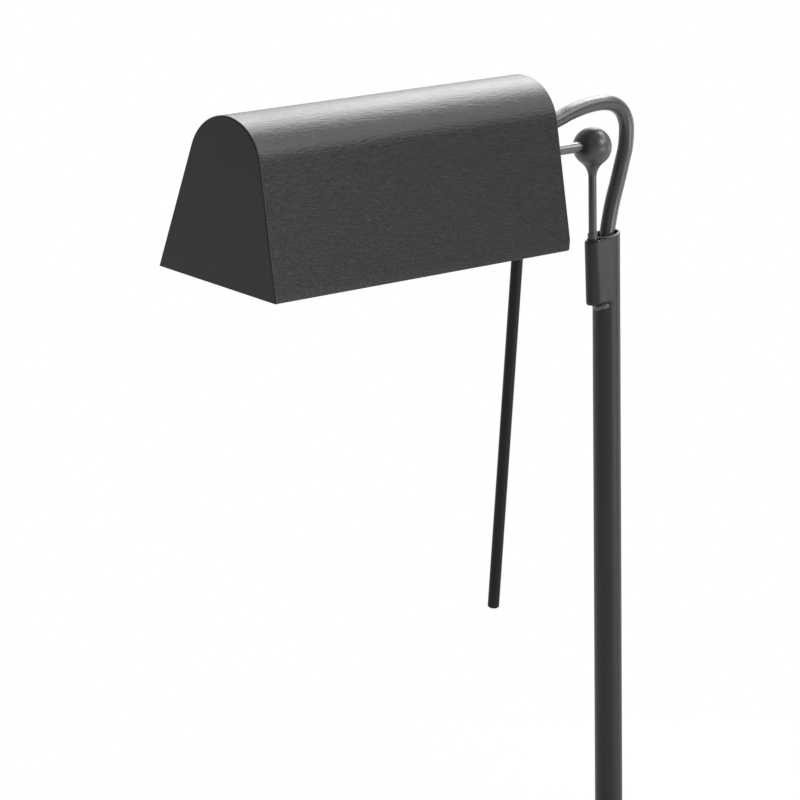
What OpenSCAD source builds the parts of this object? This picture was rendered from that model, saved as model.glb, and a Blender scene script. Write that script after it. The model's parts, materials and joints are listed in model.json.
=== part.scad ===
// Table lamp with an arched sheet-metal shade on a ball knuckle.
// The shade turns about a level pin and swivels about an upright spindle beside the stem.
// Origin: centre of the base's underside, on the stem's axis. +Z is up and the shade reaches towards -X.

/* [Base] */
// Diameter of the base cover
base_d = 180; // [160:1:220]
// Height of the cover's top above the table
base_h = 20; // [19:0.5:26]
// Sheet thickness of the cover
cover_wall = 1.5; // [1:0.1:2]
// Radius of the cover's rounded edge
cover_edge = 6; // [4:0.5:8]
// Gap between the cover's rim and the table
cover_lift = 1.2; // [0.8:0.1:1.8]
// Thickness of the felt pad
pad_t = 2; // [2:0.1:3]
// Width of the bottom plate's rim that the pad leaves bare
pad_margin = 4; // [2:0.5:8]
// Thickness of the bottom plate
plate_t = 1.2; // [1:0.1:2]
// Diameter of the plate screws
screw_d = 4; // [3:0.5:5]
// Radius of the circle that the plate screws sit on
screw_circle = 60; // [45:1:70]
// Length of the plate screws
screw_l = 9; // [6:0.5:11]
// Diameter of the pocket under the stem
pocket_d = 38; // [32:1:42]
// Room for the lead's cores under the stem's nut
core_room = 4.1; // [3.7:0.1:5]
// Width of the channel from the pocket to the lead's gland
channel_w = 12; // [11:0.5:16]

/* [Stem] */
// Outer diameter of the stem
stem_d = 12; // [11:0.5:16]
// Wall of the stem
stem_wall = 1; // [0.8:0.1:1.3]
// Slant of the stem's mouth, down towards the shade
mouth_slant = 11; // [0:1:15]
// Depth of the mouth below the ball's centre, on the stem's axis
mouth_drop = 38.3; // [36:0.1:42]
// Diameter of the ring at the stem's foot
foot_d = 26; // [20:1:40]
// Height of the ring at the stem's foot
foot_h = 6; // [4:0.5:10]
// Wall of the hollow nipple that holds the stem down
nipple_wall = 1.3; // [1:0.1:1.5]
// Length of the nipple inside the stem
nipple_reach = 16; // [10:1:30]
// Height of the stem's nut
nut_h = 4.5; // [3.5:0.1:5]
// Thickness of the washer under that nut
washer_t = 1.2; // [0.8:0.1:1.5]

/* [Knuckle] */
// Height of the ball's centre above the table
ball_z = 370; // [320:1:450]
// Diameter of the ball
ball_d = 16.7; // [15.5:0.1:20]
// Radius of the hollow curve between ball and spindle
neck_r = 8; // [5:0.5:10]
// Diameter of the spindle
spindle_d = 3.5; // [3:0.1:4]
// Distance of the spindle from the stem's axis
spindle_offset = 8.5; // [8.3:0.1:10]
// Diameter of the spindle's shoulder
shoulder_d = 4.4; // [4.2:0.1:4.8]
// Height of the spindle's shoulder
shoulder_h = 2.4; // [1.5:0.1:4]
// Diameter of the side barrel that the spindle turns in
barrel_d = 6.6; // [6.5:0.1:7.4]
// Length of the side barrel
barrel_l = 28.3; // [20:0.1:40]
// Depth of the barrel's top below the ball's centre
barrel_drop = 40.2; // [39.5:0.1:44]
// Bevel at the barrel's top
barrel_bevel = 0.9; // [0.4:0.1:0.9]
// Bevel at the barrel's lower end
barrel_end_bevel = 0.6; // [0.3:0.1:0.7]
// Wall of the swivel bush
bush_wall = 0.35; // [0.3:0.05:0.4]
// Thickness of the bush's flange
bush_flange = 0.6; // [0.4:0.1:1]
// Thickness of the spindle's retaining clip
clip_t = 0.6; // [0.4:0.1:0.8]

/* [Tilt pin] */
// Diameter of the tilt pin
pin_d = 3; // [2.5:0.1:3.5]
// Diameter of the pin's threaded end in the ball
pin_tip_d = 2.5; // [2:0.1:2.5]
// Depth of the nut's recess below the ball's far side
recess_depth = 4.1; // [3.8:0.1:4.6]
// Diameter of the pin's collar
collar_d = 6.4; // [5.5:0.1:8]
// Thickness of the pin's collar
collar_t = 1.5; // [1:0.1:3]
// Height of the pin's nuts
pin_nut_h = 2; // [1.6:0.1:2.2]
// Width of the pin's nuts across the corners
pin_nut_d = 5.8; // [5:0.1:6]
// Thickness of the pin's washers
pin_washer_t = 0.6; // [0.4:0.1:0.8]

/* [Shade] */
// Lean of the shade about the tilt pin
shade_lean = 7; // [-20:1:20]
// Distance from the ball's centre to the shade's end
shade_gap = 45.5; // [40:0.5:60]
// Length of the shade
shade_l = 170; // [155:1:240]
// Height of the shade
shade_h = 68; // [64:0.5:80]
// Width of the shade at its rim
shade_w = 65.4; // [60:0.1:80]
// Outer radius of the shade's crown
crown_r = 20.4; // [19:0.1:24]
// Height of the upright hem along the rim
hem_h = 4.5; // [3:0.5:8]
// Sheet thickness of the shade
shade_wall = 1.5; // [0.8:0.1:1.8]
// Thickness of the end caps
cap_t = 1.5; // [0.8:0.1:2]
// Rounding of the lower corners at both ends
corner_r = 1.2; // [0.6:0.1:5]
// Height of the tilt pin above the rim
pin_rise = 32.4; // [30:0.1:36]
// Length of the tabs that hold the end caps
tab_l = 9; // [6:0.5:12]
// Width of those tabs
tab_w = 12; // [8:0.5:16]
// Thickness of those tabs
tab_t = 1; // [0.8:0.1:1.5]

/* [Handle] */
// Diameter of the handle rod
rod_d = 5; // [4.5:0.1:7]
// Turn of the handle rod about the tilt pin, back from the shade's lean
rod_turn = 1.1; // [0:0.1:3]
// Reach of the handle rod below the tilt pin
rod_drop = 198; // [120:1:220]
// Reach of the handle rod above the tilt pin
rod_top = 5; // [4:0.5:8]
// Thickness of the rod's flattened eye
eye_t = 4; // [3:0.1:4.4]
// Thickness of the washer between eye and shade
handle_washer_t = 1.2; // [0.6:0.1:2]

/* [Lead] */
// Diameter of the lead
lead_d = 6.6; // [6:0.1:6.9]
// Diameter of the lead's cores
core_d = 2; // [1.6:0.1:2.1]
// Height of the lead's hole in the end cap above the tilt pin
hole_rise = 11.5; // [11:0.1:12]
// Wall of the rubber bushes that the lead passes
bush_rubber = 1.3; // [1:0.1:1.6]
// Flange of the rubber bushes
rubber_flange = 1.2; // [0.8:0.1:1.6]
// Height of the base's lead gland above the table
gland_z = 9; // [8.5:0.1:10]

/* [Lampholder and bulb] */
// Height of the bulb's axis above the tilt pin
bulb_rise = 8; // [7:0.5:9]
// Sheet thickness of the bracket
bracket_t = 1.5; // [1:0.1:2]
// Reach of the bracket into the shade
bracket_l = 20; // [18:0.5:24]
// Width of the bracket
bracket_w = 22; // [20:0.5:26]
// Depth of the bracket's floor below the tilt pin
bracket_drop = 13; // [11:0.5:15]
// Diameter of the bracket's rivets
rivet_d = 3; // [2:0.1:3.4]
// Diameter of the lampholder's nipple
holder_nipple_d = 10; // [9.5:0.1:11]
// Height of that nipple's nut
nipple_nut_h = 3; // [2:0.1:4]
// Diameter of the lampholder's cap
holder_cap_d = 25; // [22:0.5:26]
// Length of the lampholder's cap
holder_cap_l = 18; // [14:0.5:22]
// Diameter of the lampholder's body
holder_d = 27; // [24:0.5:28]
// Length of the lampholder's body
holder_l = 27; // [24:0.5:32]
// Wall of the lampholder's mouldings
holder_wall = 2; // [1.5:0.1:3]
// Diameter of the bulb's screw cap
screw_cap_d = 13.9; // [13.5:0.1:14.2]
// Length of the bulb's screw cap
screw_cap_l = 22; // [18:0.5:24]
// Diameter of the bulb's glass
bulb_d = 25; // [20:0.5:28]
// Length of the bulb's glass beyond the screw cap
bulb_l = 74; // [60:1:80]
// Wall of the bulb's glass
glass_wall = 0.8; // [0.6:0.1:1.2]

/* [Hidden] */
$fn = 64;

// Clearances: pieces that sit in one another, a shaft in its bush, bolts in their holes, free gaps
seat = 0.02;
run = 0.03;
bolt_gap = 0.1;
free_gap = 0.4;
// Extra length that carries a cut through a face
through = 1;

// Colours
black_paint = "#3b3b3d";
brushed_black = "#454547";
dark_steel = "#2c2c2e";
steel = "#9a9da1";
iron = "#5b5d5f";
rubber_black = "#1d1d1f";
cable_black = "#232325";
brass = "#b6964f";
felt = "#26272a";
moulding = "#1f1f20";
opal = "#f3f0e8";
core_colours = ["#7a4a2b", "#2f5fa8", "#7fae3a"];

// Heights in the base
plate_z = pad_t;
weight_z = plate_z + plate_t;
weight_top = base_h - cover_wall;
plate_r = base_d / 2 - cover_wall - 2 * free_gap;
stem_nut_z = weight_z + core_room;
pocket_top = stem_nut_z + nut_h + washer_t;
nipple_tip = 0.3;
nipple_z = stem_nut_z - nipple_tip;
nipple_r = stem_d / 2 - stem_wall - seat;
stem_h = ball_z - mouth_drop;
stem_nut_d = 2 * nipple_r + 9;
stem_washer_d = 2 * nipple_r + 12;

// Terminal block
block_x = pocket_d / 2 + 5;
block_size = [14, 20, 9];
core_pitch = 6;
core_row = core_d + 0.3;
terminal_d = 3.4;
terminal_depth = 5;
core_z = weight_z + core_d / 2 + 0.6;
sheath_z = nipple_z + 3;

// Knuckle, measured from the ball's centre
ball_r = ball_d / 2;
spindle_r = spindle_d / 2;
bush_r = spindle_r + run + bush_wall;
neck_x = spindle_r + neck_r;
neck_z = -sqrt(pow(ball_r + neck_r, 2) - pow(neck_x, 2));
neck_share = ball_r / (ball_r + neck_r);
barrel_z = -barrel_drop;
barrel_end = barrel_z - barrel_l;
shoulder_z = barrel_z + bush_flange + run;
clip_room = 3.4;
clip_z = barrel_end + clip_room - free_gap / 2 - clip_t;
spindle_end = barrel_end + 0.8;
clip_d = spindle_d + 1.2;
groove_r = spindle_r - 0.45;
recess_x = ball_r - recess_depth;
pin_tip_x = -1;
pin_end_x = recess_x + run + pin_washer_t + pin_nut_h + 0.5;
recess_d = pin_nut_d + 2 * free_gap;

// Shade, measured from the pin's line: x from the ball's centre, z from the pin
shade_x = -shade_gap;
rim_z = -pin_rise;
half_w = shade_w / 2;
crown_z = shade_h - crown_r;
flare = atan2(hem_h - crown_z, half_w) + acos(crown_r / norm([half_w, crown_z - hem_h]));
cap_gap = 0.15;
tab_rows = [12, 34];
eye_x = shade_x + handle_washer_t;
rod_x = eye_x + eye_t / 2;
collar_x = eye_x + eye_t;
inner_x = shade_x - cap_t - bracket_t;
plate_b_x = shade_x - bracket_l;
rubber_r = lead_d / 2 + bush_rubber;
rivet_y = bracket_w / 2 - rivet_d;
rivet_z = 4 - bracket_drop + rivet_d / 2;
rivet_head_d = rivet_d * 1.8;
rivet_head_t = 0.9;

// Lampholder and bulb, along the bulb's axis
nipple_tail = 2 * holder_wall;
nipple_end = 1;
body_x = plate_b_x - holder_cap_l;
holder_front = body_x - holder_l;
shell_t = 0.4;
shell_gap = 0.1;
shell_r = screw_cap_d / 2 + shell_gap + shell_t;
shell_l = 16;
floor_x = body_x - holder_wall;
contact_t = 1;
screw_cap_x = floor_x - contact_t - 0.3;
glass_x = screw_cap_x - screw_cap_l;
glass_neck_r = screw_cap_d / 2 - 0.5;
glass_seat = 4;

// Route of the lead outside the lamp: from the stem's mouth, over the ball, to the shade's end.
// x is measured from the stem's axis and z from the ball's centre.
hole_y = -hole_rise * sin(shade_lean);
hole_z = hole_rise * cos(shade_lean);
loop_end = [shade_x - spindle_offset, hole_y, hole_z];
loop_route = [[0, 0, -50], [0, 0, -47], [0, 0, -44], [0.5, 0, -39.5], [1.6, 0, -34], [4.2, 0, -25],
  [7.5, 0, -16.5], [10.6, 0, -8], [12.6, 0, -2], [13.3, 0, 4.5], [12.8, 0, 9], [10.2, 0, 13.6],
  [5, 0, 16.9], [-2.5, 0, 18.2], [-12, 0, 17.8], [-22, -0.2, 16.2], [-30, -0.6, 14.2], [-38, -1, 12.4],
  loop_end + [8, 0, 0], loop_end + [4, 0, 0], loop_end];
loop_split = 9;
loop_steps = 3;
loop_path = smooth([for (p = loop_route) p + [0, 0, ball_z]], loop_steps);

// Route of the lead inside the shade, from the cap's hole to the lampholder, from the shade's end
head_drop = hole_rise - bulb_rise;
head_route = [[0, 0, head_drop], [-1.5, 0, head_drop], [-3, 0, head_drop], [-6, 0, 0.75 * head_drop],
  [-9, 0, 0.25 * head_drop], [-12, 0, 0], [-15, 0, 0], [-bracket_l, 0, 0], [-bracket_l - nipple_tail, 0, 0]];
head_path = smooth([for (p = head_route) p + [shade_x, 0, bulb_rise]], loop_steps);

// Curve through points: a cubic between each pair, with tangents from the neighbours
function cubic(a, b, c, d, t) =
  0.5 * (2 * b + (c - a) * t + (2 * a - 5 * b + 4 * c - d) * t * t + (3 * b - a - 3 * c + d) * t * t * t);
function pick(list, i) = list[max(0, min(len(list) - 1, i))];
function smooth(list, steps) = concat(
  [for (i = [0 : len(list) - 2], j = [0 : steps - 1])
    cubic(pick(list, i - 1), list[i], list[i + 1], pick(list, i + 2), j / steps)],
  [list[len(list) - 1]]);
function unit(v) = v / norm(v);
function along(path, i) = unit(pick(path, i + 1) - pick(path, i - 1));
function across(t) = unit([0, 1, 0] - t[1] * t);

// A tube that follows part of a path; the path bends mostly in the XZ plane
module sweep(path, first, last, d, sides) {
  rings = last - first + 1;
  points = [for (i = [first : last], k = [0 : sides - 1])
    let (t = along(path, i), u = across(t), v = cross(t, u), a = 360 * k / sides)
    path[i] + d / 2 * (cos(a) * u + sin(a) * v)];
  skin = [for (i = [0 : rings - 2], k = [0 : sides - 1])
    let (a = i * sides + k, b = i * sides + (k + 1) % sides)
    each [[a, a + sides, b], [b, a + sides, b + sides]]];
  start = [for (k = [0 : sides - 1]) k];
  end = [for (k = [sides - 1 : -1 : 0]) (rings - 1) * sides + k];
  polyhedron(points = points, faces = concat([start], skin, [end]));
}

// Places: the ball's centre, and the leaning head with the tilt pin along x
module at_ball() { translate([-spindle_offset, 0, ball_z]) children(); }
module at_head() { at_ball() rotate([shade_lean, 0, 0]) children(); }
module at_bulb() { at_head() translate([0, 0, bulb_rise]) children(); }
// A round solid along +X from x, and a hexagon
module rod_x(x, l, d) { translate([x, 0, 0]) rotate([0, 90, 0]) cylinder(d = d, h = l); }
module hex_x(x, l, d) { translate([x, 0, 0]) rotate([0, 90, 0]) cylinder(d = d, h = l, $fn = 6); }
module ring_x(x, l, d, hole) {
  difference() {
    rod_x(x, l, d);
    rod_x(x - through, l + 2 * through, hole);
  }
}

// Base
module cover_section(inset) {
  square([base_d / 2 - cover_edge, base_h - inset]);
  square([base_d / 2 - inset, base_h - cover_edge]);
  translate([base_d / 2 - cover_edge, base_h - cover_edge]) circle(cover_edge - inset);
}
module screw_places() {
  for (a = [60 : 120 : 300]) rotate(a) translate([screw_circle, 0, plate_z]) children();
}
module plate_screw(gap) {
  cylinder(d1 = screw_d + 2 * plate_t + 2 * gap, d2 = screw_d + 2 * gap, h = plate_t);
  cylinder(d = screw_d + 2 * gap, h = screw_l);
}

module base_pad() {
  color(felt) cylinder(r = plate_r - pad_margin, h = pad_t);
}

module bottom_plate() {
  color(steel) difference() {
    translate([0, 0, plate_z]) cylinder(r = plate_r, h = plate_t);
    screw_places() plate_screw(seat);
  }
}

module plate_screws() {
  color(steel) screw_places() plate_screw(0);
}

module base_weight() {
  color(iron) difference() {
    rotate_extrude() difference() {
      union() {
        cover_section(cover_wall + free_gap);
        square([base_d / 2 - cover_edge - free_gap, weight_top]);
      }
      square([base_d, weight_z]);
      square([nipple_r + bolt_gap, base_h]);
      square([pocket_d / 2, pocket_top]);
    }
    block_room = block_size + [1, 1, 1];
    translate([0, -block_room[1] / 2, weight_z - through])
      cube([block_x + block_room[0], block_room[1], block_room[2] + through]);
    translate([0, -channel_w / 2, weight_z - through])
      cube([base_d / 2, channel_w, gland_z + rubber_r + free_gap - weight_z + through]);
    screw_places() cylinder(d = screw_d + 2 * seat, h = screw_l + seat);
  }
}

module base_cover() {
  color(black_paint) difference() {
    rotate_extrude() difference() {
      cover_section(0);
      cover_section(cover_wall);
      square([base_d, cover_lift]);
      square([nipple_r + bolt_gap, 2 * base_h]);
    }
    translate([0, 0, gland_z]) rod_x(base_d / 4, base_d / 2, 2 * rubber_r + 2 * seat);
  }
}

module lead_gland() {
  gland_back = base_d / 2 - cover_wall - 2 * rubber_flange;
  color(rubber_black) translate([0, 0, gland_z]) difference() {
    union() {
      rod_x(gland_back, cover_wall + 3 * rubber_flange, 2 * rubber_r);
      rod_x(base_d / 2, rubber_flange, 2 * rubber_r + 2 * rubber_flange);
    }
    rod_x(base_d / 4, base_d / 2, lead_d + 0.4);
  }
}

module terminal_places() {
  for (k = [-1 : 1]) translate([block_x + block_size[0] / 2, k * core_pitch, weight_z + block_size[2]])
    children();
}

module terminal_block() {
  color(moulding) difference() {
    translate([block_x, -block_size[1] / 2, weight_z]) cube(block_size);
    terminal_places() translate([0, 0, -terminal_depth])
      cylinder(d = terminal_d + 2 * seat, h = terminal_depth + through);
  }
}

module terminal_screws() {
  color(brass) terminal_places() difference() {
    translate([0, 0, -terminal_depth]) cylinder(d = terminal_d, h = terminal_depth - 1);
    translate([-terminal_d, -0.3, -1.8]) cube([2 * terminal_d, 0.6, 1]);
  }
}

// Three cores that leave the lead's sheath in the nipple and run under the nut to the terminals
module lead_cores() {
  for (k = [-1 : 1]) {
    y = k * core_row;
    route = [[0, y, sheath_z], [0, y, nipple_z + 2.2], [0, y, nipple_z + 1.4], [0.6, y, nipple_z - 0.4],
      [2.6, y, core_z + 0.2], [6, y, core_z], [13, 1.8 * y, core_z], [block_x - 4, k * core_pitch, core_z],
      [block_x - 2, k * core_pitch, core_z], [block_x, k * core_pitch, core_z]];
    path = smooth(route, 2);
    color(core_colours[k + 1]) sweep(path, 0, len(path) - 1, core_d, 8);
  }
}

// Stem
module mouth_cut() {
  translate([0, 0, stem_h]) rotate([0, -mouth_slant, 0]) translate([-4 * stem_d, -2 * stem_d, 0])
    cube([8 * stem_d, 4 * stem_d, 4 * stem_d]);
}

module stem_nipple() {
  color(steel) difference() {
    translate([0, 0, nipple_z]) cylinder(r = nipple_r, h = base_h + nipple_reach - nipple_z);
    translate([0, 0, nipple_z - through]) cylinder(r = nipple_r - nipple_wall, h = base_h + nipple_reach);
  }
}

module stem_washer() {
  color(steel) translate([0, 0, pocket_top - washer_t]) difference() {
    cylinder(d = stem_washer_d, h = washer_t);
    translate([0, 0, -through]) cylinder(r = nipple_r + bolt_gap, h = washer_t + 2 * through);
  }
}

module stem_nut() {
  color(steel) translate([0, 0, stem_nut_z]) difference() {
    cylinder(d = stem_nut_d, h = nut_h, $fn = 6);
    translate([0, 0, -through]) cylinder(r = nipple_r + seat, h = nut_h + 2 * through);
  }
}

module stem_foot() {
  bore_r = stem_d / 2 + seat;
  foot_r = foot_d / 2;
  bevel = foot_h / 2;
  color(black_paint) translate([0, 0, base_h]) rotate_extrude()
    polygon([[bore_r, 0], [foot_r, 0], [foot_r, bevel], [foot_r - bevel, foot_h], [bore_r, foot_h]]);
}

module stem_tube() {
  color(black_paint) difference() {
    translate([0, 0, base_h]) cylinder(d = stem_d, h = stem_h - base_h + stem_d);
    cylinder(d = stem_d - 2 * stem_wall, h = stem_h + 2 * stem_d);
    mouth_cut();
  }
}

module stem_lead() {
  color(cable_black) translate([0, 0, sheath_z]) cylinder(d = lead_d, h = loop_path[0][2] - sheath_z);
}

// Side barrel beside the stem's mouth, joined to the stem by a web with tangent sides
module swivel_socket() {
  barrel_r = barrel_d / 2;
  stem_r = stem_d / 2;
  normal_x = (barrel_r - stem_r) / spindle_offset;
  normal_y = sqrt(1 - normal_x * normal_x);
  stem_tangent = stem_r * [normal_x, normal_y];
  barrel_tangent = barrel_r * [normal_x, normal_y] - [spindle_offset, 0];
  web = [stem_tangent, barrel_tangent,
    [barrel_tangent[0], -barrel_tangent[1]], [stem_tangent[0], -stem_tangent[1]]];
  web_end = ball_z + barrel_end + barrel_end_bevel;
  color(black_paint) difference() {
    union() {
      at_ball() translate([0, 0, barrel_end]) {
        cylinder(r1 = barrel_r - barrel_end_bevel, r2 = barrel_r, h = barrel_end_bevel);
        translate([0, 0, barrel_end_bevel])
          cylinder(r = barrel_r, h = barrel_l - barrel_bevel - barrel_end_bevel);
        translate([0, 0, barrel_l - barrel_bevel])
          cylinder(r1 = barrel_r, r2 = barrel_r - barrel_bevel, h = barrel_bevel);
      }
      difference() {
        translate([0, 0, web_end]) linear_extrude(barrel_l + stem_d) polygon(web);
        mouth_cut();
        at_ball() translate([0, 0, barrel_z]) cylinder(r = barrel_r, h = stem_d);
        translate([-spindle_offset, -stem_d, web_end]) rotate([0, -mouth_slant, 0])
          translate([-stem_d, 0, -stem_d]) cube([3 * stem_d, 2 * stem_d, stem_d]);
      }
    }
    translate([0, 0, base_h]) cylinder(r = stem_r + seat, h = ball_z);
    at_ball() translate([0, 0, barrel_end - through]) {
      cylinder(r = bush_r + seat, h = barrel_l + stem_d);
      cylinder(d = clip_d + free_gap, h = clip_room + through);
    }
  }
}

module swivel_bush() {
  color(rubber_black) at_ball() difference() {
    union() {
      translate([0, 0, barrel_end + clip_room]) cylinder(r = bush_r, h = barrel_l - clip_room);
      translate([0, 0, barrel_z]) cylinder(d = barrel_d - 2 * barrel_bevel, h = bush_flange);
    }
    translate([0, 0, barrel_end]) cylinder(r = spindle_r + run, h = barrel_l + 2 * bush_flange);
  }
}

module loop_lead_lower() {
  color(cable_black) sweep(loop_path, 0, loop_split * loop_steps, lead_d, 12);
}

module loop_lead_upper() {
  color(cable_black) sweep(loop_path, loop_split * loop_steps, len(loop_path) - 1, lead_d, 12);
}

// Knuckle
module swivel_ball() {
  color(dark_steel) at_ball() difference() {
    rotate_extrude() difference() {
      union() {
        intersection() {
          circle(ball_r);
          translate([0, -ball_r]) square([ball_r, ball_d]);
        }
        difference() {
          translate([0, neck_z]) square([neck_x * neck_share, neck_z * neck_share - neck_z]);
          translate([neck_x, neck_z]) circle(neck_r);
        }
        translate([0, spindle_end]) square([spindle_r, neck_z - spindle_end]);
        translate([0, shoulder_z]) square([shoulder_d / 2, shoulder_h]);
      }
      translate([groove_r, clip_z - seat]) square([spindle_d, clip_t + 2 * seat]);
    }
    rod_x(-ball_d, ball_d + pin_tip_x, pin_d + 2 * run);
    rod_x(-ball_d, 2 * ball_d, pin_tip_d + 2 * run);
    rod_x(recess_x, ball_d, recess_d);
  }
}

module spindle_clip() {
  color(steel) at_ball() translate([0, 0, clip_z]) difference() {
    cylinder(d = clip_d, h = clip_t);
    translate([0, 0, -through]) cylinder(r = groove_r + seat, h = clip_t + 2 * through);
    translate([-clip_d, -groove_r * 0.8, -through]) cube([clip_d, groove_r * 1.6, clip_t + 2 * through]);
  }
}

// Tilt pin and what it clamps
module tilt_pin() {
  tail_x = inner_x - pin_washer_t - pin_nut_h - 1;
  color(dark_steel) at_head() {
    rod_x(tail_x, pin_tip_x - run - tail_x, pin_d);
    rod_x(pin_tip_x - 2 * run, pin_end_x - pin_tip_x + 2 * run, pin_tip_d);
    rod_x(collar_x, collar_t, collar_d);
  }
}

module tilt_washer() {
  color(steel) at_head() ring_x(recess_x + run, pin_washer_t, pin_nut_d, pin_tip_d + 2 * seat);
}

module tilt_nut() {
  color(steel) at_head() difference() {
    hex_x(recess_x + run + pin_washer_t, pin_nut_h, pin_nut_d);
    rod_x(0, ball_d, pin_tip_d + 2 * seat);
  }
}

module handle_washer() {
  color(steel) at_head() ring_x(shade_x, handle_washer_t, collar_d, pin_d + 2 * seat);
}

module handle_rod() {
  end_bevel = rod_d / 8;
  color(dark_steel) at_head() rotate([-rod_turn, 0, 0]) difference() {
    translate([rod_x, 0, -rod_drop]) {
      cylinder(d1 = rod_d - 2 * end_bevel, d2 = rod_d, h = end_bevel);
      translate([0, 0, end_bevel]) cylinder(d = rod_d, h = rod_drop + rod_top - 2 * end_bevel);
      translate([0, 0, rod_drop + rod_top - end_bevel])
        cylinder(d1 = rod_d, d2 = rod_d - 2 * end_bevel, h = end_bevel);
    }
    for (side = [0, 1]) translate([rod_x, -rod_d, -2 * rod_top]) mirror([side, 0, 0])
      translate([eye_t / 2, 0, 0]) cube([rod_d, 2 * rod_d, 4 * rod_top]);
    rod_x(shade_x - rod_d, 4 * rod_d, pin_d + 2 * seat);
  }
}

module pin_washer() {
  color(steel) at_head() ring_x(inner_x - pin_washer_t, pin_washer_t, pin_nut_d, pin_d + 2 * seat);
}

module pin_nut() {
  color(steel) at_head() difference() {
    hex_x(inner_x - pin_washer_t - pin_nut_h, pin_nut_h, pin_nut_d);
    rod_x(inner_x - ball_d, 2 * ball_d, pin_d + 2 * seat);
  }
}

// Shade: a round crown with tangent flared sides over an upright hem
module arch(inset, foot) {
  r = crown_r - inset;
  w = half_w - inset;
  fold_z = (r + sin(flare) * crown_z - cos(flare) * w) / sin(flare);
  tx = r * cos(flare);
  tz = crown_z + r * sin(flare);
  translate([0, crown_z]) circle(r);
  polygon([[-w, foot], [w, foot], [w, fold_z], [tx, tz], [-tx, tz], [-w, fold_z]]);
}

// A section in the YZ plane, drawn from the rim up, made l long from x
module along_shade(x, l) {
  translate([x, 0, rim_z]) rotate([90, 0, 90]) linear_extrude(l) children();
}

// What a rounded lower corner loses, in the plane of the section's two axes
module corner_loss() {
  difference() {
    translate([-through, -through]) square(corner_r + through);
    translate([corner_r, corner_r]) circle(corner_r);
  }
}

module shade_barrel() {
  color(brushed_black) at_head() difference() {
    along_shade(shade_x - shade_l, shade_l) difference() {
      arch(0, 0);
      arch(shade_wall, -through);
    }
    for (end = [0, 1]) translate([shade_x - shade_l / 2, shade_w, rim_z]) mirror([end, 0, 0])
      translate([-shade_l / 2, 0, 0]) rotate([90, 0, 0]) linear_extrude(2 * shade_w) corner_loss();
  }
}

module cap_plate(x) {
  inset = shade_wall + cap_gap;
  difference() {
    along_shade(x, cap_t) arch(inset, 0);
    for (side = [0, 1]) mirror([0, side, 0]) along_shade(x - through, cap_t + 2 * through)
      translate([inset - half_w, 0]) corner_loss();
  }
}

// Tabs bent along the flared sides, at heights above the rim
module cap_tabs(x) {
  out = [cos(flare), sin(flare)];
  up = [-sin(flare), cos(flare)];
  face = (crown_r - shade_wall) * out + [0, crown_z];
  for (row = tab_rows, side = [0, 1]) mirror([0, side, 0]) along_shade(x, tab_l) {
    low = face + (row - face[1]) / up[1] * up;
    high = low + tab_w * up;
    polygon([low, high, high - tab_t * out, low - tab_t * out]);
  }
}

module stem_end_cap() {
  color(black_paint) at_head() {
    difference() {
      cap_plate(shade_x - cap_t);
      rod_x(shade_x - 2 * cap_t, 4 * cap_t, pin_d + 2 * bolt_gap);
      translate([0, 0, hole_rise]) rod_x(shade_x - 2 * cap_t, 4 * cap_t, 2 * rubber_r + 2 * seat);
      rivet_places() rod_x(shade_x - 2 * cap_t, 4 * cap_t, rivet_d + 2 * seat);
    }
    cap_tabs(shade_x - cap_t - tab_l);
  }
}

module free_end_cap() {
  color(black_paint) at_head() {
    cap_plate(shade_x - shade_l);
    cap_tabs(shade_x - shade_l + cap_t);
  }
}

module cap_grommet() {
  color(rubber_black) at_head() translate([0, 0, hole_rise]) difference() {
    union() {
      rod_x(shade_x - cap_t - rubber_flange, cap_t + 2 * rubber_flange, 2 * rubber_r);
      rod_x(shade_x, rubber_flange, 2 * rubber_r + 2 * rubber_flange);
      rod_x(shade_x - cap_t - rubber_flange, rubber_flange, 2 * rubber_r + 2 * rubber_flange);
    }
    rod_x(shade_x - ball_d, 2 * ball_d, lead_d + 2 * bolt_gap);
  }
}

module head_lead() {
  color(cable_black) at_head() sweep(head_path, 0, len(head_path) - 1, lead_d, 12);
}

// Lampholder
module rivet_places() { for (y = [-rivet_y, rivet_y]) translate([0, y, rivet_z]) children(); }

module holder_bracket() {
  floor_z = -bracket_drop;
  front_h = bracket_drop + hole_rise - rubber_r - rubber_flange - free_gap;
  back_h = bracket_drop + bulb_rise + holder_nipple_d;
  color(steel) at_head() difference() {
    union() {
      translate([inner_x, -bracket_w / 2, floor_z]) cube([bracket_t, bracket_w, front_h]);
      translate([plate_b_x, -bracket_w / 2, floor_z]) cube([inner_x - plate_b_x, bracket_w, bracket_t]);
      translate([plate_b_x, -bracket_w / 2, floor_z]) cube([bracket_t, bracket_w, back_h]);
    }
    rod_x(inner_x - through, bracket_t + 2 * through, pin_d + 2 * bolt_gap);
    translate([0, 0, bulb_rise])
      rod_x(plate_b_x - through, bracket_t + 2 * through, holder_nipple_d + 2 * bolt_gap);
    rivet_places() rod_x(inner_x - through, bracket_t + 2 * through, rivet_d + 2 * seat);
  }
}

module bracket_rivets() {
  color(steel) at_head() rivet_places() {
    rod_x(inner_x - rivet_head_t, bracket_t + cap_t + 2 * rivet_head_t, rivet_d);
    rod_x(inner_x - rivet_head_t, rivet_head_t, rivet_head_d);
    rod_x(shade_x, rivet_head_t, rivet_head_d);
  }
}

module holder_nipple() {
  nipple_l = nipple_tail + bracket_t + nipple_nut_h + nipple_end;
  color(steel) at_bulb() ring_x(plate_b_x - nipple_tail, nipple_l, holder_nipple_d, lead_d + free_gap);
}

module nipple_nut() {
  color(steel) at_bulb() difference() {
    hex_x(plate_b_x + bracket_t, nipple_nut_h, holder_nipple_d + 6);
    rod_x(plate_b_x, bracket_l, holder_nipple_d + 2 * seat);
  }
}

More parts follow.
